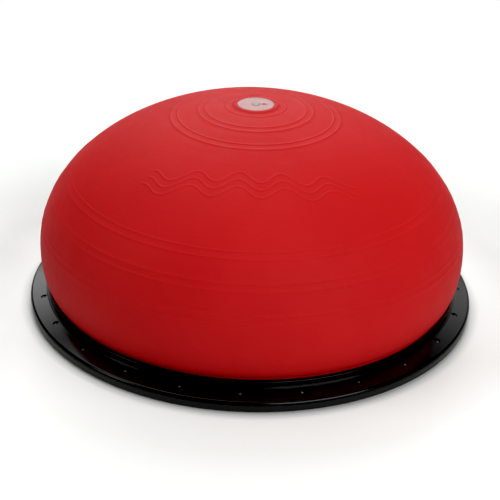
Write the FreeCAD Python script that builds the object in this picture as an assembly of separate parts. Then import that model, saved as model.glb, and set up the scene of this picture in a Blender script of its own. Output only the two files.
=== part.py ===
"""Balance dome trainer: an air-filled rubber dome clamped in a two-part screwed ring.

Millimetres, +Z up. The origin is the centre of the circle of feet, on the floor.
The dome is a body of revolution about Z, and one ring screw lies on the -Y side.
"""
import FreeCAD
import Part

import math
import os

# ---- dome skin -------------------------------------------------------------
DOME_HEIGHT = 239.5            # crown of the rubber, without the valve
DOME_WIDEST_R = 246.3
DOME_WIDEST_Z = 73.0
DOME_ROUND_OUT = 1.835         # superellipse powers of the upper curve
DOME_ROUND_UP = 2.038
DOME_NECK_R = 233.3            # where the skin disappears into the ring
DOME_NECK_Z = 25.7
DOME_NECK_POWER = 2.44         # gentle draw-in below the widest circle
TUCK = 3.0                     # extra draw-in just above the ring
TUCK_POWER = 12
SKIN_WALL = 4.0
SKIN_TAPER = 0.4               # the skin draws in by this much down to its bead
CROWN_PAD_R = 30.0             # thick pad under the crown that carries the valve
CROWN_PAD_Z = 231.2
COLLAR_R = 25.0                # low moulded collar round the valve disc
COLLAR_Z = 239.7
BEAD_R = 238.2                 # moulded bead at the skin's edge, gripped by the ring
BEAD_BOTTOM_Z = 12.5
BEAD_TOP_Z = 17.0
BEAD_CORNER = 0.6

# ---- ring ------------------------------------------------------------------
RING_R = 260.0
RING_FOOT_GAP = 0.7            # the ring's underside above the floor
PARTING_Z = 9.6                # where the two ring halves meet
GROOVE_R = 257.4               # shadow groove round the parting line
GROOVE_BOTTOM_Z = 8.9
FLANGE_INNER_Z = 17.1
FLANGE_SLOPE_DEG = 14.5        # the flange slopes down from the lip to the rim
RIM_LEAN_DEG = 6.0             # the rounded rim's lean at the parting line
STEP_R = 241.0                 # low step at the foot of the lip round the dome
STEP_Z = 19.0
STEP_ROUND = 1.0
LIP_R = 239.5
LIP_TOP_Z = 24.9
LIP_INNER_R = 233.9
EDGE_ROUND = 0.8
POCKET_R = 238.4               # pocket in both halves for bead, seal and membrane
SHELF_Z = 9.0
LOWER_INNER_R = 228.0
LOWER_WALL = 3.0
LOWER_PLATE_Z = 6.0            # underside of the lower ring's plate
LOWER_RING_R = 259.8           # outer wall at the parting groove
LOWER_RING_BOTTOM_R = 259.2    # the same wall near the floor
RIB_COUNT = 48
RIB_THICK = 2.0
RIB_BOTTOM_Z = 1.2

# ---- ring screws and inserts -------------------------------------------------
SCREW_COUNT = 24
SCREW_CIRCLE_R = 245.5
FIRST_SCREW_DEG = -90.0
RECESS_R = 3.4
SLOT_WIDTH = 1.8               # drain slot from each recess to the foot of the lip
SLOT_FLOOR_Z = 14.0
SLOT_BITE = 0.2
SCREW_SEAT_Z = 12.6
HEAD_R = 1.9
HEAD_HEIGHT = 2.6
HEAD_ROUND = 1.2
CROSS_LENGTH = 1.8
CROSS_WIDTH = 0.5
CROSS_DEPTH = 1.0
SHANK_R = 1.2
SHANK_TIP_Z = 3.0
SHANK_HOLE_R = 1.35
INSERT_R = 2.5
INSERT_BORE_R = 1.25
INSERT_BOTTOM_Z = 2.6
INSERT_TOP_Z = 9.0
BOSS_R = 4.6

# ---- feet --------------------------------------------------------------------
FOOT_COUNT = 12
FOOT_CIRCLE_R = 244.0
FOOT_R = 8.4
FOOT_POCKET_R = 8.6
FOOT_POCKET_Z = 3.2
FOOT_EDGE = 0.8
FOOT_STEM_R = 2.95
FOOT_STEM_HOLE_R = 3.0
FOOT_STEM_TOP_Z = 7.0
FOOT_BOSS_R = 10.6

# ---- membrane and seal ---------------------------------------------------------
MEMBRANE_R = 238.1
MEMBRANE_TOP_Z = 11.5
SEAL_INNER_R = 229.6
SEAL_OUTER_R = 237.9

# ---- valve in the crown -----------------------------------------------------------
DISC_R = 20.9
DISC_RECESS_R = 21.05
DISC_RECESS_Z = 237.0
DISC_BOTTOM_Z = 237.3
DISC_TOP_Z = 239.4
DISC_RIM_Z = 239.6
DISC_RIM_WIDTH = 1.9
TUBE_R = 8.8
TUBE_HOLE_R = 9.1
TUBE_BOTTOM_Z = 214.0
BORE_R = 3.65
PLUG_SEAT_R = 5.15             # counterbore for the plug's head
PLUG_SEAT_Z = 237.6
NOTCH_X = 9.6                  # fingernail hollow beside the plug
NOTCH_R = 6.0
NOTCH_LIFT = 4.9
WASHER_R = 18.0
WASHER_HOLE_R = 9.0
WASHER_TOP_Z = 230.9
WASHER_BOTTOM_Z = 229.4
NUT_FLATS_R = 13.0
NUT_BOTTOM_Z = 224.0
NUT_BORE_R = 8.82
PLUG_HEAD_R = 5.0
PLUG_HEAD_Z = 237.7
PLUG_TOP_Z = 239.7
PLUG_STEM_R = 3.6
PLUG_TIP_R = 2.9
PLUG_TAPER_Z = 219.0
PLUG_TIP_Z = 215.5
PLUG_GROOVE_R = 2.8
PLUG_GROOVE_Z = 225.0
PLUG_GROOVE_HEIGHT = 2.0
PLUG_SEAL_CLEAR = 0.05

AXIS = FreeCAD.Vector(0, 0, 1)
CENTRE = FreeCAD.Vector(0, 0, 0)
CUT_MARGIN = 1.0


def rz(radius, height):
    """A point of a revolved outline."""
    return FreeCAD.Vector(radius, 0, height)


def revolve(edges):
    """A solid of revolution about Z from the edges of a closed outline."""
    face = Part.Face(Part.Wire(edges))
    solid = face.revolve(CENTRE, AXIS, 360)
    return solid


def lines(points):
    """Straight edges that join the points in order."""
    return [Part.makeLine(start, end) for start, end in zip(points, points[1:])]


def revolve_polygon(points):
    """A solid of revolution whose outline joins the points in order."""
    return revolve(lines(points + points[:1]))


def cylinder(radius, bottom, top, x=0.0, y=0.0):
    """An upright cylinder between two heights."""
    return Part.makeCylinder(radius, top - bottom, FreeCAD.Vector(x, y, bottom), AXIS)


def on_circle(radius, degrees):
    """The x and y of a place on a circle about Z."""
    angle = math.radians(degrees)
    return radius * math.cos(angle), radius * math.sin(angle)


def screw_places():
    """The x and y of each ring screw."""
    step = 360.0 / SCREW_COUNT
    return [on_circle(SCREW_CIRCLE_R, FIRST_SCREW_DEG + step * i) for i in range(SCREW_COUNT)]


def foot_places():
    """The x and y of each foot, half way between two screws."""
    half_pitch = 180.0 / SCREW_COUNT
    step = 360.0 / FOOT_COUNT
    first = FIRST_SCREW_DEG + half_pitch
    return [on_circle(FOOT_CIRCLE_R, first + step * i) for i in range(FOOT_COUNT)]


def dome_curve(inset):
    """The dome's side from the crown down to the neck, moved inwards by inset."""
    widest = DOME_WIDEST_R - inset
    rise = DOME_HEIGHT - inset - DOME_WIDEST_Z
    neck = DOME_NECK_R - inset
    drop = DOME_WIDEST_Z - DOME_NECK_Z
    upper_steps = 24
    lower_steps = 14
    points = []
    for i in range(upper_steps + 1):
        t = math.pi / 2 * i / upper_steps
        radius = widest * math.sin(t) ** (2 / DOME_ROUND_OUT)
        height = DOME_WIDEST_Z + rise * abs(math.cos(t)) ** (2 / DOME_ROUND_UP)
        points.append(rz(radius, height))
    for i in range(1, lower_steps + 1):
        part_way = i / lower_steps
        gentle = (widest - neck - TUCK) * part_way ** DOME_NECK_POWER
        radius = widest - gentle - TUCK * part_way ** TUCK_POWER
        points.append(rz(radius, DOME_WIDEST_Z - drop * part_way))
    curve = Part.BSplineCurve()
    curve.interpolate(points)
    return curve.toShape(), points[0], points[-1]


def dome_skin():
    """The moulded rubber dome with its edge bead, crown pad and valve seat."""
    side, crown, neck = dome_curve(0.0)
    bottom = rz(0, BEAD_BOTTOM_Z)
    rim = lines([
        neck,
        rz(DOME_NECK_R - SKIN_TAPER, BEAD_TOP_Z),
        rz(BEAD_R - BEAD_CORNER, BEAD_TOP_Z),
        rz(BEAD_R, BEAD_TOP_Z - BEAD_CORNER),
        rz(BEAD_R, BEAD_BOTTOM_Z),
        bottom,
        crown,
    ])
    outside = revolve([side] + rim)
    inner_side, inner_crown, inner_neck = dome_curve(SKIN_WALL)
    below = rz(0, BEAD_BOTTOM_Z - CUT_MARGIN)
    inner_rim = lines([
        inner_neck,
        rz(DOME_NECK_R - SKIN_WALL, BEAD_BOTTOM_Z - CUT_MARGIN),
        below,
        inner_crown,
    ])
    cavity = revolve([inner_side] + inner_rim)
    pad = cylinder(CROWN_PAD_R, CROWN_PAD_Z, DOME_HEIGHT)
    cavity = cavity.cut(pad)
    skin = outside.cut(cavity)
    skin = skin.fuse(cylinder(COLLAR_R, DISC_RECESS_Z, COLLAR_Z))
    skin = skin.cut(cylinder(DISC_RECESS_R, DISC_RECESS_Z, DOME_HEIGHT + CUT_MARGIN))
    skin = skin.cut(cylinder(TUBE_HOLE_R, CROWN_PAD_Z - CUT_MARGIN, DOME_HEIGHT))
    return skin


def base_membrane():
    """The elastic sheet that closes the air space from below."""
    return cylinder(MEMBRANE_R, SHELF_Z, MEMBRANE_TOP_Z)


def bead_seal():
    """The flat seal between the membrane's edge and the dome's bead."""
    seal = cylinder(SEAL_OUTER_R, MEMBRANE_TOP_Z, BEAD_BOTTOM_Z)
    hole = cylinder(SEAL_INNER_R, MEMBRANE_TOP_Z - CUT_MARGIN, BEAD_BOTTOM_Z + CUT_MARGIN)
    return seal.cut(hole)


def quarter_round(corner_r, corner_z, size):
    """A rounded outer corner from straight up to straight out, clockwise."""
    middle = size * (1 - math.sqrt(0.5))
    start = rz(corner_r - size, corner_z)
    through = rz(corner_r - middle, corner_z - middle)
    end = rz(corner_r, corner_z - size)
    return Part.Arc(start, through, end).toShape(), start, end


def rim_round():
    """The rim's arc, which leaves the flange smoothly and ends at the parting line."""
    slope = math.radians(FLANGE_SLOPE_DEG)
    lean = math.radians(RIM_LEAN_DEG)
    drop = FLANGE_INNER_Z - math.tan(slope) * (RING_R - STEP_R) - PARTING_Z
    size = drop / (1 / math.cos(slope) - math.tan(slope) * math.cos(lean) - math.sin(lean))
    middle_r = RING_R - size * math.cos(lean)
    middle_z = PARTING_Z - size * math.sin(lean)
    first = math.pi / 2 - slope
    places = []
    for angle in (first, (first + lean) / 2, lean):
        places.append(rz(middle_r + size * math.cos(angle), middle_z + size * math.sin(angle)))
    start, through, end = places
    return Part.Arc(start, through, end).toShape(), start, end


def recess_slot(index):
    """The drain slot of one screw recess, as the block to cut away."""
    inner = STEP_R - SLOT_BITE
    slot = Part.makeBox(
        SCREW_CIRCLE_R - inner,
        SLOT_WIDTH,
        FLANGE_INNER_Z - SLOT_FLOOR_Z,
        FreeCAD.Vector(inner, -SLOT_WIDTH / 2, SLOT_FLOOR_Z),
    )
    slot.rotate(CENTRE, AXIS, FIRST_SCREW_DEG + 360.0 * index / SCREW_COUNT)
    return slot


def upper_ring():
    """The glossy upper half of the ring: sloping flange and stepped lip."""
    lip_arc, lip_start, lip_end = quarter_round(LIP_R, LIP_TOP_Z, EDGE_ROUND)
    step_arc, step_start, step_end = quarter_round(STEP_R, STEP_Z, STEP_ROUND)
    rim_arc, flange_end, rim_end = rim_round()
    edges = lines([
        rz(POCKET_R, PARTING_Z),
        rz(POCKET_R, BEAD_TOP_Z),
        rz(LIP_INNER_R, BEAD_TOP_Z),
        rz(LIP_INNER_R, LIP_TOP_Z - EDGE_ROUND),
        rz(LIP_INNER_R + EDGE_ROUND, LIP_TOP_Z),
        lip_start,
    ])
    edges.append(lip_arc)
    edges += lines([lip_end, rz(LIP_R, STEP_Z), step_start])
    edges.append(step_arc)
    edges += lines([step_end, rz(STEP_R, FLANGE_INNER_Z), flange_end])
    edges.append(rim_arc)
    edges += lines([rim_end, rz(POCKET_R, PARTING_Z)])
    ring = revolve(edges)
    cuts = [recess_slot(i) for i in range(SCREW_COUNT)]
    for x, y in screw_places():
        cuts.append(cylinder(RECESS_R, SCREW_SEAT_Z, FLANGE_INNER_Z, x, y))
        cuts.append(cylinder(SHANK_HOLE_R, PARTING_Z - CUT_MARGIN, SCREW_SEAT_Z + CUT_MARGIN, x, y))
    return ring.cut(cuts)


def radial_rib(index):
    """One stiffening rib under the lower ring."""
    inner = LOWER_INNER_R + LOWER_WALL / 2
    outer = GROOVE_R
    rib = Part.makeBox(
        outer - inner,
        RIB_THICK,
        LOWER_PLATE_Z + CUT_MARGIN - RIB_BOTTOM_Z,
        FreeCAD.Vector(inner, -RIB_THICK / 2, RIB_BOTTOM_Z),
    )
    rib.rotate(CENTRE, AXIS, FIRST_SCREW_DEG + 360.0 * index / RIB_COUNT)
    return rib


def lower_ring():
    """The lower half of the ring: plate, two walls, ribs and bosses."""
    shell = revolve_polygon([
        rz(LOWER_INNER_R, RING_FOOT_GAP),
        rz(LOWER_INNER_R + LOWER_WALL, RING_FOOT_GAP),
        rz(LOWER_INNER_R + LOWER_WALL, LOWER_PLATE_Z),
        rz(LOWER_RING_BOTTOM_R - LOWER_WALL, LOWER_PLATE_Z),
        rz(LOWER_RING_BOTTOM_R - LOWER_WALL, RING_FOOT_GAP),
        rz(LOWER_RING_BOTTOM_R - EDGE_ROUND, RING_FOOT_GAP),
        rz(LOWER_RING_BOTTOM_R, RING_FOOT_GAP + EDGE_ROUND),
        rz(LOWER_RING_R, GROOVE_BOTTOM_Z),
        rz(GROOVE_R, GROOVE_BOTTOM_Z),
        rz(GROOVE_R, PARTING_Z),
        rz(POCKET_R, PARTING_Z),
        rz(POCKET_R, SHELF_Z),
        rz(LOWER_INNER_R + EDGE_ROUND, SHELF_Z),
        rz(LOWER_INNER_R, SHELF_Z - EDGE_ROUND),
    ])
    plate_middle = LOWER_PLATE_Z + CUT_MARGIN
    added = [radial_rib(i) for i in range(RIB_COUNT)]
    added += [cylinder(BOSS_R, RING_FOOT_GAP, plate_middle, x, y) for x, y in screw_places()]
    added += [cylinder(FOOT_BOSS_R, RING_FOOT_GAP, plate_middle, x, y) for x, y in foot_places()]
    ring = shell.fuse(added)
    cuts = []
    for x, y in screw_places():
        cuts.append(cylinder(INSERT_R, INSERT_BOTTOM_Z, INSERT_TOP_Z, x, y))
        cuts.append(cylinder(SHANK_HOLE_R, INSERT_TOP_Z, PARTING_Z + CUT_MARGIN, x, y))
    for x, y in foot_places():
        cuts.append(cylinder(FOOT_POCKET_R, 0, FOOT_POCKET_Z, x, y))
        cuts.append(cylinder(FOOT_STEM_HOLE_R, FOOT_POCKET_Z, FOOT_STEM_TOP_Z, x, y))
    return ring.cut(cuts).removeSplitter()


def rim_screw(x, y):
    """One cross-head screw of the ring."""
    head_top = SCREW_SEAT_Z + HEAD_HEIGHT
    round_arc, round_start, round_end = quarter_round(HEAD_R, head_top, HEAD_ROUND)
    edges = lines([rz(0, SHANK_TIP_Z), rz(0, head_top), round_start])
    edges.append(round_arc)
    edges += lines([
        round_end,
        rz(HEAD_R, SCREW_SEAT_Z),
        rz(SHANK_R, SCREW_SEAT_Z),
        rz(SHANK_R, SHANK_TIP_Z + EDGE_ROUND),
        rz(SHANK_R - EDGE_ROUND, SHANK_TIP_Z),
        rz(0, SHANK_TIP_Z),
    ])
    screw = revolve(edges)
    for length, width in ((CROSS_LENGTH, CROSS_WIDTH), (CROSS_WIDTH, CROSS_LENGTH)):
        corner = FreeCAD.Vector(-length / 2, -width / 2, head_top - CROSS_DEPTH)
        screw = screw.cut(Part.makeBox(length, width, CROSS_DEPTH + CUT_MARGIN, corner))
    screw.translate(FreeCAD.Vector(x, y, 0))
    return screw


def threaded_insert(x, y):
    """One brass insert that a ring screw bites into."""
    insert = cylinder(INSERT_R, INSERT_BOTTOM_Z, INSERT_TOP_Z, x, y)
    bore = cylinder(INSERT_BORE_R, INSERT_BOTTOM_Z - CUT_MARGIN, INSERT_TOP_Z + CUT_MARGIN, x, y)
    return insert.cut(bore)


def foot(x, y):
    """One push-in rubber foot."""
    piece = revolve_polygon([
        rz(0, 0),
        rz(FOOT_R - FOOT_EDGE, 0),
        rz(FOOT_R, FOOT_EDGE),
        rz(FOOT_R, FOOT_POCKET_Z),
        rz(FOOT_STEM_R, FOOT_POCKET_Z),
        rz(FOOT_STEM_R, FOOT_STEM_TOP_Z - FOOT_EDGE),
        rz(FOOT_STEM_R - FOOT_EDGE, FOOT_STEM_TOP_Z),
        rz(0, FOOT_STEM_TOP_Z),
    ])
    piece.translate(FreeCAD.Vector(x, y, 0))
    return piece


def valve_body():
    """The pale disc in the crown, with its tube, plug seat and fingernail hollow."""
    body = revolve_polygon([
        rz(BORE_R, TUBE_BOTTOM_Z),
        rz(TUBE_R, TUBE_BOTTOM_Z),
        rz(TUBE_R, DISC_BOTTOM_Z),
        rz(DISC_R, DISC_BOTTOM_Z),
        rz(DISC_R, DISC_RIM_Z - EDGE_ROUND / 2),
        rz(DISC_R - EDGE_ROUND / 2, DISC_RIM_Z),
        rz(DISC_R - DISC_RIM_WIDTH + EDGE_ROUND / 2, DISC_RIM_Z),
        rz(DISC_R - DISC_RIM_WIDTH, DISC_TOP_Z),
        rz(PLUG_SEAT_R, DISC_TOP_Z),
        rz(PLUG_SEAT_R, PLUG_SEAT_Z),
        rz(BORE_R, PLUG_SEAT_Z),
    ])
    notch = Part.makeSphere(NOTCH_R, FreeCAD.Vector(NOTCH_X, 0, DISC_TOP_Z + NOTCH_LIFT))
    return body.cut(notch)


def valve_washer():
    """The wide washer that spreads the nut's grip under the crown pad."""
    washer = cylinder(WASHER_R, WASHER_BOTTOM_Z, WASHER_TOP_Z)
    return washer.cut(cylinder(WASHER_HOLE_R, WASHER_BOTTOM_Z - CUT_MARGIN, WASHER_TOP_Z + CUT_MARGIN))


def valve_nut():
    """The hexagonal nut that holds the valve body in the crown."""
    corner_r = NUT_FLATS_R / math.cos(math.radians(30))
    corners = [on_circle(corner_r, 60 * i) for i in range(6)]
    points = [FreeCAD.Vector(x, y, NUT_BOTTOM_Z) for x, y in corners]
    outline = Part.Wire(lines(points + points[:1]))
    nut = Part.Face(outline).extrude(AXIS * (WASHER_BOTTOM_Z - NUT_BOTTOM_Z))
    return nut.cut(cylinder(NUT_BORE_R, NUT_BOTTOM_Z - CUT_MARGIN, WASHER_BOTTOM_Z + CUT_MARGIN))


def valve_plug():
    """The pull-out stopper, with a groove for its sealing ring."""
    groove_top = PLUG_GROOVE_Z + PLUG_GROOVE_HEIGHT
    return revolve_polygon([
        rz(0, PLUG_TIP_Z),
        rz(PLUG_TIP_R, PLUG_TIP_Z),
        rz(PLUG_STEM_R, PLUG_TAPER_Z),
        rz(PLUG_STEM_R, PLUG_GROOVE_Z),
        rz(PLUG_GROOVE_R, PLUG_GROOVE_Z),
        rz(PLUG_GROOVE_R, groove_top),
        rz(PLUG_STEM_R, groove_top),
        rz(PLUG_STEM_R, PLUG_HEAD_Z),
        rz(PLUG_HEAD_R, PLUG_HEAD_Z),
        rz(PLUG_HEAD_R, PLUG_TOP_Z - EDGE_ROUND),
        rz(PLUG_HEAD_R - EDGE_ROUND, PLUG_TOP_Z),
        rz(0, PLUG_TOP_Z),
    ])


def plug_seal():
    """The rubber ring in the plug's groove."""
    bottom = PLUG_GROOVE_Z + PLUG_SEAL_CLEAR
    top = PLUG_GROOVE_Z + PLUG_GROOVE_HEIGHT - PLUG_SEAL_CLEAR
    seal = cylinder(BORE_R - PLUG_SEAL_CLEAR, bottom, top)
    return seal.cut(cylinder(PLUG_GROOVE_R, bottom - CUT_MARGIN, top + CUT_MARGIN))


def all_nodes():
    """Every node of the assembly by name."""
    nodes = {
        "dome_skin": dome_skin(),
        "base_membrane": base_membrane(),
        "bead_seal": bead_seal(),
        "upper_ring": upper_ring(),
        "lower_ring": lower_ring(),
        "rim_screws": Part.makeCompound([rim_screw(x, y) for x, y in screw_places()]),
        "threaded_inserts": Part.makeCompound([threaded_insert(x, y) for x, y in screw_places()]),
        "valve_body": valve_body(),
        "valve_washer": valve_washer(),
        "valve_nut": valve_nut(),
        "valve_plug": valve_plug(),
        "plug_seal": plug_seal(),
    }
    for number, (x, y) in enumerate(foot_places(), start=1):
        nodes["foot_%02d" % number] = foot(x, y)
    return nodes


os.makedirs("parts", exist_ok=True)
for name, shape in all_nodes().items():
    box = shape.BoundBox
    print("%-17s solids %2d valid %s volume %9.0f  z %6.1f to %6.1f" % (
        name, len(shape.Solids), shape.isValid(), shape.Volume, box.ZMin, box.ZMax))
    shape.exportStep("parts/%s.step" % name)
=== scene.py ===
import math

import bmesh
import bpy
import numpy as np
from mathutils import Matrix, Vector


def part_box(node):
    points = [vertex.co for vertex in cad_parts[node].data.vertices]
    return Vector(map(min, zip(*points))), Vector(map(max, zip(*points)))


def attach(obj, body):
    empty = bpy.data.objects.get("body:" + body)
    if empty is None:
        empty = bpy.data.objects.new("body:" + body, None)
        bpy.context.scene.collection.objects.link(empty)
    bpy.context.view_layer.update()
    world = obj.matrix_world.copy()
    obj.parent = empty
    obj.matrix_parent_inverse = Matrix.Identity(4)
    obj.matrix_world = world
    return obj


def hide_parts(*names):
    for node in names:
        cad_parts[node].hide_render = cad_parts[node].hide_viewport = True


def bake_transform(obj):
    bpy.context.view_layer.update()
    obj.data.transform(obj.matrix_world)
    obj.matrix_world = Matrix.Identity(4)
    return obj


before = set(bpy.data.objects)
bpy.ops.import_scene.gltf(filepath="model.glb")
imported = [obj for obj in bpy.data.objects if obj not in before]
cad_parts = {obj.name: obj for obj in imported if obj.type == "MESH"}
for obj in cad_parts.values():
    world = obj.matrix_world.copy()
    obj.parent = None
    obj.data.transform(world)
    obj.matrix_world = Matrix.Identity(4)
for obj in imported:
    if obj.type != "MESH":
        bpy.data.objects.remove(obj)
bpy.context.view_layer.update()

MM = 0.001

# ---- dome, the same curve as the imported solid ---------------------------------
DOME_LOW, DOME_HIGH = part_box("dome_skin")
WIDEST_R = DOME_HIGH[0]
BEAD_BOTTOM_Z = DOME_LOW[2]
DOME_HEIGHT = 239.5 * MM
WIDEST_Z = 73.0 * MM
ROUND_OUT = 1.835
ROUND_UP = 2.038
NECK_R = 233.3 * MM
NECK_Z = 25.7 * MM
NECK_POWER = 2.44              # gentle draw-in below the widest circle
TUCK = 3.0 * MM                # extra draw-in just above the ring
TUCK_POWER = 12
SKIN_WALL = 4.0 * MM
SKIN_TAPER = 0.4 * MM
BEAD_R = 238.2 * MM
BEAD_TOP_Z = 17.0 * MM
BEAD_CORNER = 0.6 * MM
BEAD_TURN_WIDTH = 0.5 * MM     # where the skin turns outward into the bead
BEAD_TURN_HEIGHT = 1.0 * MM
CROWN_PAD_R = 30.0 * MM
CROWN_PAD_Z = 231.2 * MM
DISC_RECESS_R = 21.05 * MM
DISC_RECESS_Z = 237.0 * MM
TUBE_HOLE_R = 9.1 * MM
TUBE_EDGE = 0.5 * MM           # small bevels of the valve's seat
SEAT_CORNER = 0.3 * MM
SEAT_EDGE = 0.4 * MM
COLLAR_TOP_R = 23.0 * MM       # low collar round the valve disc, softer than the solid's
COLLAR_R = 28.0 * MM
COLLAR_Z = 239.7 * MM

# Points of the dome's curve, and the spacing of its mesh rows and columns.
UPPER_POINTS = 900             # above the widest circle
LOWER_POINTS = 200             # and below it
ROW_STEP = 5.0 * MM            # where nothing is raised
TUCK_REACH = 16.0 * MM         # length of skin above the ring with close rows
TUCK_ROW_STEP = 1.0 * MM
COLLAR_ROW_STEP = 0.5 * MM
LINE_ROWS = 9                  # rows over one moulded line
WAVE_ROW_STEP = 0.8 * MM
SMALLEST_STEP = 0.25 * MM
INSIDE_ROWS = 40
WAVE_COLUMN = math.radians(0.42)
WAVE_MARGIN = math.radians(4.6)
PLAIN_COLUMNS = 150            # round the rest of the dome
SHARP_ANGLE = math.radians(42.0)

# Moulded double lines round the dome, as distances along the skin from the crown.
LINE_PAIRS_MM = (26.0, 57.3, 89.4, 229.0, 262.0, 294.5)
LINE_GAP_MM = 8.2
LINE_HALF_WIDTH = 1.3 * MM
LINE_HEIGHT = 0.25 * MM
CROWN_LINE_HEIGHT = 0.3 * MM
CROWN_LINES_END = 110.0 * MM

# Raised wave motif on the front of the dome, a plain pattern of three parallel waves.
WAVE_COUNT = 3
WAVE_PITCH = 10.0 * MM
WAVE_SWING = 7.0 * MM
WAVE_LENGTH = 46.0 * MM
WAVE_HALF_SPAN = 106.0 * MM
WAVE_MIDDLE = 150.0 * MM       # distance from the crown along the skin
WAVE_TURN_R = 139.5 * MM       # radius that turns a width into an angle round the dome
WAVE_DROP = 25.0 * MM
WAVE_HALF_WIDTH = 1.3 * MM
WAVE_HEIGHT = 0.42 * MM
WAVE_END = 0.03                # share of the half span over which the waves fade out
HUMP_POWER = 1.5               # how round the top of a raised line is

# ---- upper ring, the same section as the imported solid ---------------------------
RING_R = 260.0 * MM
PARTING_Z = 9.6 * MM
POCKET_R = 238.4 * MM
LIP_INNER_R = 233.9 * MM
LIP_R = 239.5 * MM
LIP_TOP_Z = 24.9 * MM
LIP_ROUND = 0.8 * MM
STEP_R = 241.0 * MM
STEP_Z = 19.0 * MM
STEP_ROUND = 1.0 * MM
FLANGE_INNER_Z = 17.1 * MM
FLANGE_SLOPE = math.radians(14.5)
RIM_LEAN = math.radians(6.0)   # the rounded rim's lean at the parting line
RIM_CORNER = 0.2 * MM          # small bevel under the rim
RIM_CORNER_TURN = math.radians(3.0)
FILLET = 0.4 * MM
SCREW_COUNT = 24
SCREW_CIRCLE_R = 245.5 * MM
FIRST_SCREW = -math.pi / 2
RECESS_R = 3.4 * MM
SCREW_SEAT_Z = 12.6 * MM
SLOT_WIDTH = 1.8 * MM
SLOT_FLOOR_Z = 14.0 * MM
SLOT_BITE = 0.2 * MM
HOLE_R = 1.35 * MM
EDGE_STEPS = 8                 # mesh steps over an edge's arc
FILLET_STEPS = 4
RIM_STEPS = 14
FLANGE_STEPS = 6
LONG_RUN = 0.96 * MM           # a straight run longer than this gets two extra points
HOLD = 0.12 * MM               # that far from its ends, which keep it flat
RING_COLUMNS = 480
CIRCLE_POINTS = 40
CUT_ABOVE = 3.0 * MM           # how far the cutting blocks stand out of the ring
CUT_BELOW = 2.0 * MM
CUT_OVERLAP = 1.0 * MM
RING_SHARP_ANGLE = math.radians(35.0)
LOWER_RING_DULL = 0.12         # the lower ring's plastic is duller than the upper ring's
LOWER_RING_GREY = 17           # and a little lighter

# ---- camera and picture ---------------------------------------------------------
CAMERA_ELEVATION = math.radians(25.62)
CAMERA_AZIMUTH = math.radians(1.73)
CAMERA_ROLL = math.radians(1.73)
CAMERA_DISTANCE = 1.5477
CAMERA_AIM = Vector((0.0, 0.0, 0.1))
CAMERA_LENS_MM = 95.35
CAMERA_SHIFT = (-0.0052, -0.0682)
SENSOR_WIDTH_MM = 36.0
CAMERA_CLIP = (0.05, 60.0)
BLACK_LEVEL = 0.005            # light below this is shown as black

# ---- studio light ---------------------------------------------------------------
SIDE_LIGHT = 0.05              # all round
OVERHEAD_LIGHT = 3.9           # a soft round patch above and behind
OVERHEAD_AXIS = (-0.1, 0.42, 0.902)
OVERHEAD_EDGE = 0.89           # cosine from its axis where it ends
OVERHEAD_FULL = 0.96           # and where it is full
BACK_LEFT_LIGHT = 3.0          # a low panel behind, brighter on its left
BACK_RIGHT_LIGHT = 1.15
BACK_MIDDLE_LIGHT = 3.6        # and a stronger patch in its middle
# The edges of panel and patch, as parts of a direction of length 1, from full to dark.
PANEL_SIDES_X = (0.44, 0.54)
PANEL_HIGH_Z = (0.42, 0.70)
MIDDLE_SIDES_X = (0.12, 0.28)
MIDDLE_HIGH_Z = (0.5, 0.7)
PANEL_LOW_Z = (0.24, 0.32)     # from dark to full, for both
PANEL_BEHIND_Y = (0.3, 0.5)
PANEL_TURN_X = 0.2             # the panel's left turns to right within this of the middle
LIGHT_AIM = (0.0, 0.0, 0.1)
KEY_PLACE = (0.957, -1.27, 1.13)
KEY_SIZE = (1.4, 0.7)
KEY_POWER = 18.0
FILL_PLACE = (-1.48, -0.57, 1.13)
FILL_SIZE = (0.5, 0.6)
FILL_POWER = 4.0

# ---- floor ----------------------------------------------------------------------
FLOOR_SIZE = 32.0
# The floor's glow is painted light that only the camera sees, shaped round the trainer: more in
# front, close to the ring and far away, and fading to nothing at the ring as a painted contact
# shadow.
GLOW_COLOR = (0.94, 1.0, 0.97, 1.0)
GLOW_SIDES = 0.12              # how far the floor is overexposed beside the trainer
GLOW_FRONT = 0.26              # the same in front of it
GLOW_NEAR = 0.12               # extra close to the ring
GLOW_FAR = 0.2                 # extra far away
PAINTED_SHADOW_WIDTH = 12.0 * MM          # the glow grows from nothing over this distance from the ring
GLOW_FRONT_Y = (-0.26, -0.14)  # where front changes to sides
GLOW_NEAR_REACH = (15.0 * MM, 70.0 * MM)
GLOW_FAR_REACH = (50.0 * MM, 280.0 * MM)


# ---- materials --------------------------------------------------------------------
def srgb(red, green, blue):
    """A linear colour from display values of 0 to 255."""
    def linear(value):
        value = value / 255.0
        return value / 12.92 if value <= 0.04045 else ((value + 0.055) / 1.055) ** 2.4
    return linear(red), linear(green), linear(blue), 1.0


def map_range(tree, source, start, end, low, high, smooth=False):
    """The source's range from start to end spread over low to high."""
    node = tree.nodes.new("ShaderNodeMapRange")
    if smooth:
        node.interpolation_type = "SMOOTHSTEP"
    node.inputs["From Min"].default_value = start
    node.inputs["From Max"].default_value = end
    node.inputs["To Min"].default_value = low
    node.inputs["To Max"].default_value = high
    tree.links.new(source, node.inputs["Value"])
    return node.outputs["Result"]


def calculate(tree, operation, first, second=None):
    """One calculation on a socket and, where it needs one, a second socket or number."""
    node = tree.nodes.new("ShaderNodeMath")
    node.operation = operation
    tree.links.new(first, node.inputs[0])
    if isinstance(second, float):
        node.inputs[1].default_value = second
    elif second is not None:
        tree.links.new(second, node.inputs[1])
    return node.outputs["Value"]


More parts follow.
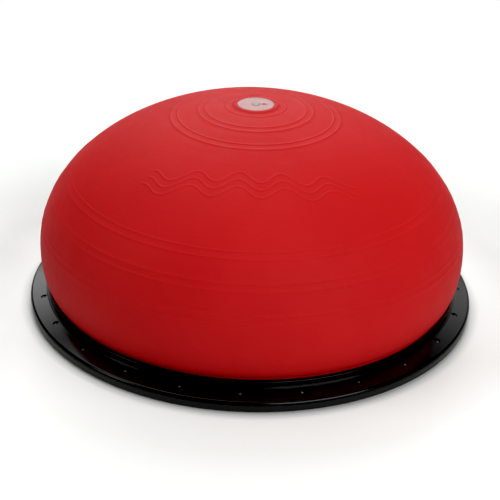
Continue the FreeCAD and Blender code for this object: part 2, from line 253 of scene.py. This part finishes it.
class Nodes:
    """A material's node tree with short calls for the nodes used here."""

    def __init__(self, name):
        self.material = bpy.data.materials.new(name)
        self.material.use_nodes = True
        self.tree = self.material.node_tree
        self.shader = self.tree.nodes["Principled BSDF"]
        self.place = self.tree.nodes.new("ShaderNodeTexCoord").outputs["Object"]

    def link(self, source, target):
        self.tree.links.new(source, target)

    def setting(self, name, value):
        self.shader.inputs[name].default_value = value

    def noise(self, scale, detail=4.0, roughness=0.55, stretch=None):
        """Noise with so many lumps in a metre, stretched if that is asked for."""
        node = self.tree.nodes.new("ShaderNodeTexNoise")
        node.inputs["Scale"].default_value = scale
        node.inputs["Detail"].default_value = detail
        node.inputs["Roughness"].default_value = roughness
        source = self.place
        if stretch is not None:
            mapping = self.tree.nodes.new("ShaderNodeMapping")
            mapping.inputs["Scale"].default_value = stretch
            self.link(source, mapping.inputs["Vector"])
            source = mapping.outputs["Vector"]
        self.link(source, node.inputs["Vector"])
        return node.outputs["Fac"]

    def ramp(self, source, low, high, low_at=0.35, high_at=0.65):
        """A change from one colour to another as the source rises."""
        node = self.tree.nodes.new("ShaderNodeValToRGB")
        node.color_ramp.elements[0].position = low_at
        node.color_ramp.elements[0].color = low
        node.color_ramp.elements[1].position = high_at
        node.color_ramp.elements[1].color = high
        self.link(source, node.inputs["Fac"])
        return node.outputs["Color"]

    def spread(self, source, low, high, low_at=0.3, high_at=0.7):
        """A change from one number to another as the source rises."""
        return map_range(self.tree, source, low_at, high_at, low, high)

    def calculate(self, operation, first, second):
        return calculate(self.tree, operation, first, second)

    def bump(self, layers):
        """Bump from (height, depth) pairs, one on top of the other."""
        last = None
        for height, depth in layers:
            node = self.tree.nodes.new("ShaderNodeBump")
            node.inputs["Distance"].default_value = depth
            node.inputs["Strength"].default_value = 1.0
            self.link(height, node.inputs["Height"])
            if last is not None:
                self.link(last, node.inputs["Normal"])
            last = node.outputs["Normal"]
        self.link(last, self.shader.inputs["Normal"])


def dome_rubber():
    """Red moulded rubber: satin, very fine grain, slow changes of tone."""
    m = Nodes("dome_rubber")
    tone = m.noise(9.0, 3.0)
    m.link(m.ramp(tone, srgb(203, 28, 31), srgb(208, 32, 34)), m.shader.inputs["Base Color"])
    patches = m.noise(70.0, 5.0)
    m.link(m.spread(patches, 0.54, 0.64), m.shader.inputs["Roughness"])
    m.setting("Specular IOR Level", 0.08)
    streaks = m.noise(6.0, 4.0, 0.6, (1.0, 1.0, 45.0))
    m.bump([(streaks, 0.2 * MM), (m.noise(700.0, 3.0), 0.12 * MM), (m.noise(220.0, 3.0), 0.1 * MM)])
    return m.material


def membrane_rubber():
    """The underside sheet: the same rubber, duller and dusted."""
    m = Nodes("membrane_rubber")
    dust = m.noise(26.0, 6.0, 0.65)
    m.link(m.ramp(dust, srgb(168, 28, 32), srgb(186, 40, 42)), m.shader.inputs["Base Color"])
    m.link(m.spread(dust, 0.50, 0.68), m.shader.inputs["Roughness"])
    m.bump([(m.noise(900.0, 3.0), 0.12 * MM)])
    return m.material


def ring_plastic(name="ring_plastic", dull=0.0, grey=1):
    """Black moulded plastic with faint handling marks, polished unless it is made dull."""
    m = Nodes(name)
    tone = m.noise(35.0, 3.0)
    low, high = srgb(grey, grey, grey + 1), srgb(grey + 4, grey + 4, grey + 4)
    m.link(m.ramp(tone, low, high), m.shader.inputs["Base Color"])
    marks = m.noise(120.0, 6.0, 0.7, (1.0, 1.0, 3.0))
    m.link(m.spread(marks, 0.12 + dull, 0.20 + dull), m.shader.inputs["Roughness"])
    m.setting("Specular IOR Level", 0.2)
    m.bump([(m.noise(60.0, 2.0), 0.01 * MM), (m.noise(700.0, 2.0), 0.004 * MM)])
    return m.material


def screw_steel():
    """Blackened steel, brighter where the driver has rubbed."""
    m = Nodes("screw_steel")
    wear = m.noise(900.0, 5.0, 0.7)
    tone = m.ramp(wear, srgb(92, 92, 95), srgb(150, 150, 152), 0.45, 0.75)
    m.link(tone, m.shader.inputs["Base Color"])
    m.link(m.spread(wear, 0.44, 0.34), m.shader.inputs["Roughness"])
    m.setting("Metallic", 1.0)
    m.bump([(m.noise(2500.0, 3.0), 0.03 * MM)])
    return m.material


def insert_brass():
    """Turned brass, slightly tarnished."""
    m = Nodes("insert_brass")
    tarnish = m.noise(600.0, 5.0)
    m.link(m.ramp(tarnish, srgb(190, 150, 84), srgb(214, 180, 110)), m.shader.inputs["Base Color"])
    m.link(m.spread(tarnish, 0.38, 0.28), m.shader.inputs["Roughness"])
    m.setting("Metallic", 1.0)
    m.bump([(m.noise(2500.0, 3.0, 0.6, (1.0, 1.0, 6.0)), 0.04 * MM)])
    return m.material


def foot_rubber(name="foot_rubber"):
    """Black rubber, scuffed grey on the sole."""
    m = Nodes(name)
    scuff = m.noise(260.0, 6.0, 0.7)
    tone = m.ramp(scuff, srgb(30, 30, 31), srgb(62, 61, 60), 0.42, 0.72)
    m.link(tone, m.shader.inputs["Base Color"])
    m.link(m.spread(scuff, 0.62, 0.82), m.shader.inputs["Roughness"])
    m.bump([(m.noise(1800.0, 3.0), 0.1 * MM)])
    return m.material


def valve_plastic():
    """Milky soft plastic with the red of the dome showing through."""
    m = Nodes("valve_plastic")
    cloud = m.noise(90.0, 5.0, 0.65)
    m.link(m.ramp(cloud, srgb(158, 92, 89), srgb(179, 124, 120)), m.shader.inputs["Base Color"])
    m.link(m.spread(cloud, 0.30, 0.42), m.shader.inputs["Roughness"])
    m.setting("Specular IOR Level", 0.25)
    m.setting("Subsurface Weight", 0.2)
    m.setting("Subsurface Radius", (4.0 * MM, 2.5 * MM, 2.0 * MM))
    m.bump([(m.noise(1400.0, 3.0), 0.05 * MM)])
    return m.material


def plug_plastic(name="plug_plastic", low=(104, 92, 92), high=(126, 112, 111)):
    """Slightly cloudy plastic of the small valve pieces."""
    m = Nodes(name)
    cloud = m.noise(400.0, 4.0, 0.6)
    m.link(m.ramp(cloud, srgb(*low), srgb(*high)), m.shader.inputs["Base Color"])
    m.link(m.spread(cloud, 0.34, 0.48), m.shader.inputs["Roughness"])
    m.bump([(m.noise(2200.0, 3.0), 0.04 * MM)])
    return m.material


def floor_paint_and_painted_light():
    """Plain pale studio floor, with painted light: a glow that only the camera sees, shaped round
    the trainer, which fades to nothing at the ring as a painted contact shadow.
    """
    m = Nodes("floor_paint_and_painted_light")
    tone = m.noise(1.2, 2.0)
    m.link(m.ramp(tone, srgb(214, 215, 213), srgb(218, 219, 217)), m.shader.inputs["Base Color"])
    m.link(m.spread(m.noise(14.0, 3.0), 0.42, 0.55), m.shader.inputs["Roughness"])
    m.setting("Specular IOR Level", 0.3)
    m.setting("Emission Color", GLOW_COLOR)
    seen = m.tree.nodes.new("ShaderNodeLightPath").outputs["Is Camera Ray"]
    length = m.tree.nodes.new("ShaderNodeVectorMath")
    length.operation = "LENGTH"
    m.link(m.place, length.inputs[0])
    distance = m.calculate("SUBTRACT", length.outputs["Value"], RING_R)
    parts = m.tree.nodes.new("ShaderNodeSeparateXYZ")
    m.link(m.place, parts.inputs["Vector"])
    # painted light: more glow in front, close to the ring and far away
    glow = m.spread(parts.outputs["Y"], GLOW_FRONT, GLOW_SIDES, *GLOW_FRONT_Y)
    glow = m.calculate("ADD", glow, m.spread(distance, GLOW_NEAR, 0.0, *GLOW_NEAR_REACH))
    glow = m.calculate("ADD", glow, m.spread(distance, 0.0, GLOW_FAR, *GLOW_FAR_REACH))
    # painted contact shadow: the glow fades to nothing at the ring
    glow = m.calculate("MULTIPLY", glow, m.spread(distance, 0.0, 1.0, 0.0, PAINTED_SHADOW_WIDTH))
    m.link(m.calculate("MULTIPLY", glow, seen), m.shader.inputs["Emission Strength"])
    return m.material


# ---- dome mesh ---------------------------------------------------------------------
def dome_side(inset):
    """Points (radius, height) of the dome's side from crown to neck, moved in by inset."""
    widest = WIDEST_R - inset
    rise = DOME_HEIGHT - inset - WIDEST_Z
    turn = np.linspace(0.0, math.pi / 2, UPPER_POINTS)
    upper_r = widest * np.sin(turn) ** (2 / ROUND_OUT)
    upper_z = WIDEST_Z + rise * np.abs(np.cos(turn)) ** (2 / ROUND_UP)
    way = np.linspace(0.0, 1.0, LOWER_POINTS)[1:]
    neck = NECK_R - inset
    gentle = (widest - neck - TUCK) * way ** NECK_POWER
    lower_r = widest - gentle - TUCK * way ** TUCK_POWER
    lower_z = WIDEST_Z - (WIDEST_Z - NECK_Z) * way
    return np.concatenate([upper_r, lower_r]), np.concatenate([upper_z, lower_z])


def along(radius, height):
    """Distance along a run of points."""
    steps = np.hypot(np.diff(radius), np.diff(height))
    return np.concatenate([[0.0], np.cumsum(steps)])


def hump(offset, half_width):
    """A smooth raised line's height, from 1 on its centre line to 0 at its edge."""
    near = np.clip(1.0 - (offset / half_width) ** 2, 0.0, 1.0)
    return near ** HUMP_POWER


def line_centres():
    """Distances of the moulded lines from the crown."""
    centres = []
    for first in LINE_PAIRS_MM:
        centres += [first * MM, (first + LINE_GAP_MM) * MM]
    return centres


def row_distances(start, end):
    """Where the dome mesh has rows: close at raised lines and waves, wide elsewhere."""
    rows = list(np.arange(start, end, ROW_STEP)) + [end]
    rows += list(np.arange(end - TUCK_REACH, end, TUCK_ROW_STEP))
    rows += list(np.arange(start, start + COLLAR_R - DISC_RECESS_R, COLLAR_ROW_STEP))
    for centre in line_centres():
        rows += list(centre + LINE_HALF_WIDTH * np.linspace(-1.0, 1.0, LINE_ROWS))
    reach = WAVE_SWING + WAVE_PITCH * (WAVE_COUNT - 1) / 2 + 2 * WAVE_HALF_WIDTH
    rows += list(np.arange(WAVE_MIDDLE - reach, WAVE_MIDDLE + WAVE_DROP + reach, WAVE_ROW_STEP))
    rows = np.unique(np.round(rows, 6))
    keep = [rows[0]]
    for row in rows[1:]:
        if row - keep[-1] > SMALLEST_STEP:
            keep.append(row)
    keep[-1] = end
    return np.array(keep)


def column_angles():
    """Angles round the dome: close together where the waves are."""
    half = WAVE_HALF_SPAN / WAVE_TURN_R + WAVE_MARGIN
    fine = np.arange(-half, half, WAVE_COLUMN)
    coarse = np.linspace(half, 2 * math.pi - half, PLAIN_COLUMNS, endpoint=False)
    return np.concatenate([fine, coarse]) - math.pi / 2


def wave_height(distance, angle):
    """Height of the wave motif at a place on the skin."""
    turn = (angle + math.pi / 2 + math.pi) % (2 * math.pi) - math.pi
    across = turn * WAVE_TURN_R
    share = across / WAVE_HALF_SPAN
    middle = WAVE_MIDDLE + WAVE_DROP * share ** 2
    beat = 2 * math.pi / WAVE_LENGTH
    swing = WAVE_SWING * np.sin(across * beat)
    slope = WAVE_SWING * beat * np.cos(across * beat)
    square = np.sqrt(1 + slope ** 2)
    height = np.zeros_like(across + distance)
    for i in range(WAVE_COUNT):
        shift = WAVE_PITCH * (i - (WAVE_COUNT - 1) / 2)
        offset = (distance - middle - swing - shift) / square
        height = np.maximum(height, hump(offset, WAVE_HALF_WIDTH))
    ends = np.clip((1.0 - np.abs(share)) / WAVE_END, 0.0, 1.0)
    return height * ends


def dome_object():
    """The rubber dome as one closed shell with its raised lines, waves, bead and valve seat."""
    side_r, side_z = dome_side(0.0)
    side_s = along(side_r, side_z)
    seat_edge = DISC_RECESS_R + SEAT_EDGE
    start = float(np.interp(seat_edge, side_r[:UPPER_POINTS], side_s[:UPPER_POINTS]))
    rows = row_distances(start, side_s[-1])
    radius = np.interp(rows, side_s, side_r)
    height = np.interp(rows, side_s, side_z)
    normal_r = -np.interp(rows, side_s, np.gradient(side_z, side_s))
    normal_z = np.interp(rows, side_s, np.gradient(side_r, side_s))
    rise = np.zeros_like(rows)
    for centre in line_centres():
        full = CROWN_LINE_HEIGHT if centre < CROWN_LINES_END else LINE_HEIGHT
        rise = np.maximum(rise, full * hump(rows - centre, LINE_HALF_WIDTH))
    collar = np.clip((COLLAR_R - radius) / (COLLAR_R - COLLAR_TOP_R), 0.0, 1.0)
    rise = np.maximum(rise, (COLLAR_Z - height) * collar ** 2 * (3 - 2 * collar))
    before = [
        (TUBE_HOLE_R, CROWN_PAD_Z),
        (TUBE_HOLE_R, DISC_RECESS_Z - TUBE_EDGE),
        (TUBE_HOLE_R + TUBE_EDGE, DISC_RECESS_Z),
        (DISC_RECESS_R - SEAT_CORNER, DISC_RECESS_Z),
        (DISC_RECESS_R, DISC_RECESS_Z + SEAT_CORNER),
        (DISC_RECESS_R, COLLAR_Z - SEAT_EDGE),
    ]
    rim_r = NECK_R - SKIN_TAPER
    after = [
        (rim_r, BEAD_TOP_Z + BEAD_TURN_HEIGHT),
        (rim_r + BEAD_TURN_WIDTH, BEAD_TOP_Z),
        (BEAD_R - BEAD_CORNER, BEAD_TOP_Z),
        (BEAD_R, BEAD_TOP_Z - BEAD_CORNER),
        (BEAD_R, BEAD_BOTTOM_Z),
        (NECK_R - SKIN_WALL, BEAD_BOTTOM_Z),
    ]
    inner_r, inner_z = dome_side(SKIN_WALL)
    inner_s = along(inner_r, inner_z)
    pad_s = float(np.interp(CROWN_PAD_R, inner_r[:UPPER_POINTS], inner_s[:UPPER_POINTS]))
    inside = np.linspace(inner_s[-1], pad_s, INSIDE_ROWS)
    after += list(zip(np.interp(inside, inner_s, inner_r), np.interp(inside, inner_s, inner_z)))
    after += [(CROWN_PAD_R, CROWN_PAD_Z)]
    angles = column_angles()
    loops = [(np.full_like(angles, r), np.full_like(angles, z)) for r, z in before]
    for i, distance in enumerate(rows):
        lift = np.maximum(rise[i], WAVE_HEIGHT * wave_height(distance, angles))
        loops.append((radius[i] + lift * normal_r[i], height[i] + lift * normal_z[i]))
    loops += [(np.full_like(angles, r), np.full_like(angles, z)) for r, z in after]
    return mesh_from_loops("dome_rubber_shell", angles, loops)


def mesh_from_loops(name, angles, loops):
    """A closed solid from rings of (radii, heights), one value for each angle."""
    cos, sin = np.cos(angles), np.sin(angles)
    verts = np.concatenate([np.stack([r * cos, r * sin, z], axis=1) for r, z in loops])
    columns = len(angles)
    count = len(loops)
    faces = []
    for i in range(count):
        a = i * columns
        b = (i + 1) % count * columns
        for j in range(columns):
            k = (j + 1) % columns
            faces.append((a + j, b + j, b + k, a + k))
    mesh = bpy.data.meshes.new(name)
    mesh.from_pydata(verts.tolist(), [], faces)
    return finish_mesh(name, mesh)


def shade(mesh, sharp):
    """Smooth shading, with edges that turn by more than the sharp angle kept as corners."""
    mesh.polygons.foreach_set("use_smooth", [True] * len(mesh.polygons))
    mesh.set_sharp_from_angle(angle=sharp)


def add_piece(name, mesh):
    """A new object in the scene."""
    piece = bpy.data.objects.new(name, mesh)
    bpy.context.scene.collection.objects.link(piece)
    return piece


def finish_mesh(name, mesh):
    """Outward normals, smooth shading and a new object."""
    bm = bmesh.new()
    bm.from_mesh(mesh)
    bmesh.ops.recalc_face_normals(bm, faces=bm.faces)
    bm.to_mesh(mesh)
    bm.free()
    shade(mesh, SHARP_ANGLE)
    return add_piece(name, mesh)


# ---- upper ring mesh --------------------------------------------------------------------
def arc(centre_r, centre_z, size, start_degrees, end_degrees, steps=EDGE_STEPS):
    """Points of an arc in the ring's section."""
    turns = np.radians(np.linspace(start_degrees, end_degrees, steps + 1))
    return [(centre_r + size * math.cos(t), centre_z + size * math.sin(t)) for t in turns]


def ring_section():
    """The closed outline (radius, height) of the upper ring, from its pocket round to its rim."""
    fall = math.tan(FLANGE_SLOPE)
    cos, sin = math.cos(RIM_LEAN), math.sin(RIM_LEAN)
    drop = FLANGE_INNER_Z - fall * (RING_R - STEP_R) - PARTING_Z
    rim_size = drop / (1 / math.cos(FLANGE_SLOPE) - fall * cos - sin)
    rim_r = RING_R - rim_size * cos
    rim_z = PARTING_Z - rim_size * sin
    flange_end_r = rim_r + rim_size * math.sin(FLANGE_SLOPE)
    tilt = math.degrees(FLANGE_SLOPE)
    points = [(POCKET_R, PARTING_Z), (POCKET_R, BEAD_TOP_Z), (LIP_INNER_R, BEAD_TOP_Z)]
    points += arc(LIP_INNER_R + LIP_ROUND, LIP_TOP_Z - LIP_ROUND, LIP_ROUND, 180.0, 90.0)
    points += arc(LIP_R - LIP_ROUND, LIP_TOP_Z - LIP_ROUND, LIP_ROUND, 90.0, 0.0)
    points += arc(LIP_R + FILLET, STEP_Z + FILLET, FILLET, 180.0, 270.0, FILLET_STEPS)
    points += arc(STEP_R - STEP_ROUND, STEP_Z - STEP_ROUND, STEP_ROUND, 90.0, 0.0)
    step_foot = (STEP_R + FILLET, FLANGE_INNER_Z + FILLET)
    points += arc(*step_foot, FILLET, 180.0, 270.0 - tilt, FILLET_STEPS)
    inner = points[-1][0]
    for r in np.linspace(inner, flange_end_r, FLANGE_STEPS + 1)[1:-1]:
        points.append((float(r), FLANGE_INNER_Z - fall * (float(r) - STEP_R)))
    rim_end = math.degrees(RIM_LEAN + RIM_CORNER_TURN)
    points += arc(rim_r, rim_z, rim_size, 90.0 - tilt, rim_end, RIM_STEPS)
    points.append((RING_R - RIM_CORNER, PARTING_Z))
    return held(points)


def held(points):
    """The outline with extra points near the ends of long runs, which keeps their shading flat."""
    result = []
    for start, end in zip(points, points[1:] + points[:1]):
        result.append(start)
        length = math.dist(start, end)
        if length > LONG_RUN:
            for share in (HOLD / length, 1 - HOLD / length):
                result.append(tuple(a + (b - a) * share for a, b in zip(start, end)))
    return result


def block(name, outline, bottom, top):
    """A closed prism over an outline of (x, y) points, repeated at every ring screw."""
    bm = bmesh.new()
    for i in range(SCREW_COUNT):
        turn = FIRST_SCREW + 2 * math.pi * i / SCREW_COUNT
        cos, sin = math.cos(turn), math.sin(turn)
        places = [(x * cos - y * sin, x * sin + y * cos) for x, y in outline]
        low = [bm.verts.new((x, y, bottom)) for x, y in places]
        high = [bm.verts.new((x, y, top)) for x, y in places]
        bm.faces.new(low)
        bm.faces.new(high)
        for j in range(len(places)):
            k = (j + 1) % len(places)
            bm.faces.new((low[j], low[k], high[k], high[j]))
    bmesh.ops.recalc_face_normals(bm, faces=bm.faces)
    mesh = bpy.data.meshes.new(name)
    bm.to_mesh(mesh)
    bm.free()
    return add_piece(name, mesh)


def cut_away(piece, cutters):
    """Cuts every cutter out of the piece, then deletes the cutters."""
    for cutter in cutters:
        modifier = piece.modifiers.new("cut", "BOOLEAN")
        modifier.operation = "DIFFERENCE"
        modifier.solver = "EXACT"
        modifier.object = cutter
    graph = bpy.context.evaluated_depsgraph_get()
    mesh = bpy.data.meshes.new_from_object(piece.evaluated_get(graph))
    piece.modifiers.clear()
    piece.data = mesh
    for cutter in cutters:
        bpy.data.objects.remove(cutter)


def ring_object():
    """The smooth upper ring with its screw recesses and their drain slots."""
    angles = np.linspace(0.0, 2 * math.pi, RING_COLUMNS, endpoint=False)
    loops = [(np.full_like(angles, r), np.full_like(angles, z)) for r, z in ring_section()]
    ring = mesh_from_loops("upper_ring_shell", angles, loops)
    turns = np.linspace(0.0, 2 * math.pi, CIRCLE_POINTS, endpoint=False)
    circle = [(SCREW_CIRCLE_R + RECESS_R * math.cos(t), RECESS_R * math.sin(t)) for t in turns]
    hole = [(SCREW_CIRCLE_R + HOLE_R * math.cos(t), HOLE_R * math.sin(t)) for t in turns]
    inner = STEP_R - SLOT_BITE
    half = SLOT_WIDTH / 2
    slot = [(inner, -half), (SCREW_CIRCLE_R, -half), (SCREW_CIRCLE_R, half), (inner, half)]
    above = FLANGE_INNER_Z + CUT_ABOVE
    cut_away(ring, [
        block("recesses", circle, SCREW_SEAT_Z, above),
        block("shank_holes", hole, PARTING_Z - CUT_BELOW, SCREW_SEAT_Z + CUT_OVERLAP),
        block("slots", slot, SLOT_FLOOR_Z, FLANGE_INNER_Z + FILLET),
    ])
    shade(ring.data, RING_SHARP_ANGLE)
    return ring


# ---- stage ----------------------------------------------------------------------------
def make_floor():
    """A wide floor at height 0."""
    bpy.ops.mesh.primitive_plane_add(size=FLOOR_SIZE, location=(0.0, 0.0, 0.0))
    floor = bpy.context.object
    floor.name = "studio_floor"
    floor.data.materials.append(floor_paint_and_painted_light())


def make_world():
    """Soft studio surround: bright above and low behind, dim at the front and sides."""
    world = bpy.data.worlds.new("studio")
    world.use_nodes = True
    bpy.context.scene.world = world
    tree = world.node_tree
    direction = tree.nodes.new("ShaderNodeTexCoord").outputs["Generated"]
    split = tree.nodes.new("ShaderNodeSeparateXYZ")
    tree.links.new(direction, split.inputs["Vector"])
    across, depth, upward = (split.outputs[name] for name in "XYZ")

    def fade(source, start, end, low, high):
        return map_range(tree, source, start, end, low, high, smooth=True)

    axis = tree.nodes.new("ShaderNodeVectorMath")
    axis.operation = "DOT_PRODUCT"
    axis.inputs[1].default_value = OVERHEAD_AXIS
    tree.links.new(direction, axis.inputs[0])
    overhead = fade(axis.outputs["Value"], OVERHEAD_EDGE, OVERHEAD_FULL, 0.0, OVERHEAD_LIGHT)
    sideways = calculate(tree, "ABSOLUTE", across)
    low_edge = fade(upward, *PANEL_LOW_Z, 0.0, 1.0)
    behind = fade(depth, *PANEL_BEHIND_Y, 0.0, 1.0)
    panel = fade(across, -PANEL_TURN_X, PANEL_TURN_X, BACK_LEFT_LIGHT, BACK_RIGHT_LIGHT)
    panel_sides = fade(sideways, *PANEL_SIDES_X, 1.0, 0.0)
    panel_top = fade(upward, *PANEL_HIGH_Z, 1.0, 0.0)
    for edge in (panel_sides, panel_top, low_edge, behind):
        panel = calculate(tree, "MULTIPLY", panel, edge)
    middle = fade(sideways, *MIDDLE_SIDES_X, BACK_MIDDLE_LIGHT, 0.0)
    middle_top = fade(upward, *MIDDLE_HIGH_Z, 1.0, 0.0)
    for edge in (middle_top, low_edge, behind):
        middle = calculate(tree, "MULTIPLY", middle, edge)
    light = calculate(tree, "ADD", overhead, panel)
    light = calculate(tree, "ADD", light, middle)
    light = calculate(tree, "ADD", light, SIDE_LIGHT)
    tree.links.new(light, tree.nodes["Background"].inputs["Strength"])
    tree.nodes["Background"].inputs["Color"].default_value = (1.0, 1.0, 1.0, 1.0)


def area_light(name, place, size, power):
    """A rectangular softbox that points at the trainer."""
    light = bpy.data.lights.new(name, "AREA")
    light.shape = "RECTANGLE"
    light.size, light.size_y = size
    light.energy = power
    lamp = bpy.data.objects.new(name, light)
    bpy.context.scene.collection.objects.link(lamp)
    lamp.location = place
    toward = Vector(LIGHT_AIM) - Vector(place)
    lamp.rotation_euler = toward.to_track_quat("-Z", "Y").to_euler()


def make_lights():
    """The two softboxes at the sides."""
    area_light("softbox_right", KEY_PLACE, KEY_SIZE, KEY_POWER)
    area_light("softbox_left", FILL_PLACE, FILL_SIZE, FILL_POWER)


def make_camera():
    """The camera, aimed at the trainer and rolled a little."""
    camera = bpy.data.cameras.new("camera")
    camera.sensor_width = SENSOR_WIDTH_MM
    camera.lens = CAMERA_LENS_MM
    camera.shift_x, camera.shift_y = CAMERA_SHIFT
    camera.clip_start, camera.clip_end = CAMERA_CLIP
    away = Vector((
        math.sin(CAMERA_AZIMUTH) * math.cos(CAMERA_ELEVATION),
        -math.cos(CAMERA_AZIMUTH) * math.cos(CAMERA_ELEVATION),
        math.sin(CAMERA_ELEVATION),
    ))
    right = Vector((math.cos(CAMERA_AZIMUTH), math.sin(CAMERA_AZIMUTH), 0.0))
    up = away.cross(right)
    rolled_right = right * math.cos(CAMERA_ROLL) + up * math.sin(CAMERA_ROLL)
    rolled_up = up * math.cos(CAMERA_ROLL) - right * math.sin(CAMERA_ROLL)
    turn = Matrix((rolled_right, rolled_up, away)).transposed().to_4x4()
    holder = bpy.data.objects.new("camera", camera)
    bpy.context.scene.collection.objects.link(holder)
    holder.matrix_world = Matrix.Translation(CAMERA_AIM + away * CAMERA_DISTANCE) @ turn
    bpy.context.scene.camera = holder


# ---- put together ------------------------------------------------------------------------
def paint(node, material):
    """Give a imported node's own object a finished material."""
    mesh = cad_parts[node].data
    for i in range(len(mesh.materials)):
        mesh.materials[i] = material
    if not mesh.materials:
        mesh.materials.append(material)


def paint_nodes():
    """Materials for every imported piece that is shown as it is."""
    paint("lower_ring", ring_plastic("lower_ring_plastic", LOWER_RING_DULL, LOWER_RING_GREY))
    paint("rim_screws", screw_steel())
    paint("threaded_inserts", insert_brass())
    paint("base_membrane", membrane_rubber())
    seal = foot_rubber("seal_rubber")
    paint("bead_seal", seal)
    paint("plug_seal", seal)
    paint("valve_body", valve_plastic())
    washer = plug_plastic("washer_plastic", (196, 192, 182), (210, 206, 196))
    paint("valve_washer", washer)
    paint("valve_nut", washer)
    paint("valve_plug", plug_plastic())
    rubber = foot_rubber()
    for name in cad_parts:
        if name.startswith("foot_"):
            paint(name, rubber)


def make_dome():
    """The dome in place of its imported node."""
    dome = dome_object()
    dome.data.materials.append(dome_rubber())
    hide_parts("dome_skin")
    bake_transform(dome)


def make_ring():
    """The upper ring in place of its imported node."""
    ring = ring_object()
    ring.data.materials.clear()
    ring.data.materials.append(ring_plastic())
    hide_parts("upper_ring")
    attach(ring, "base")


view = bpy.context.scene.view_settings
view.view_transform = "Standard"
view.use_curve_mapping = True
view.curve_mapping.black_level = (BLACK_LEVEL, BLACK_LEVEL, BLACK_LEVEL)
view.curve_mapping.update()
make_world()
make_lights()
make_camera()
make_floor()
paint_nodes()
make_dome()
make_ring()
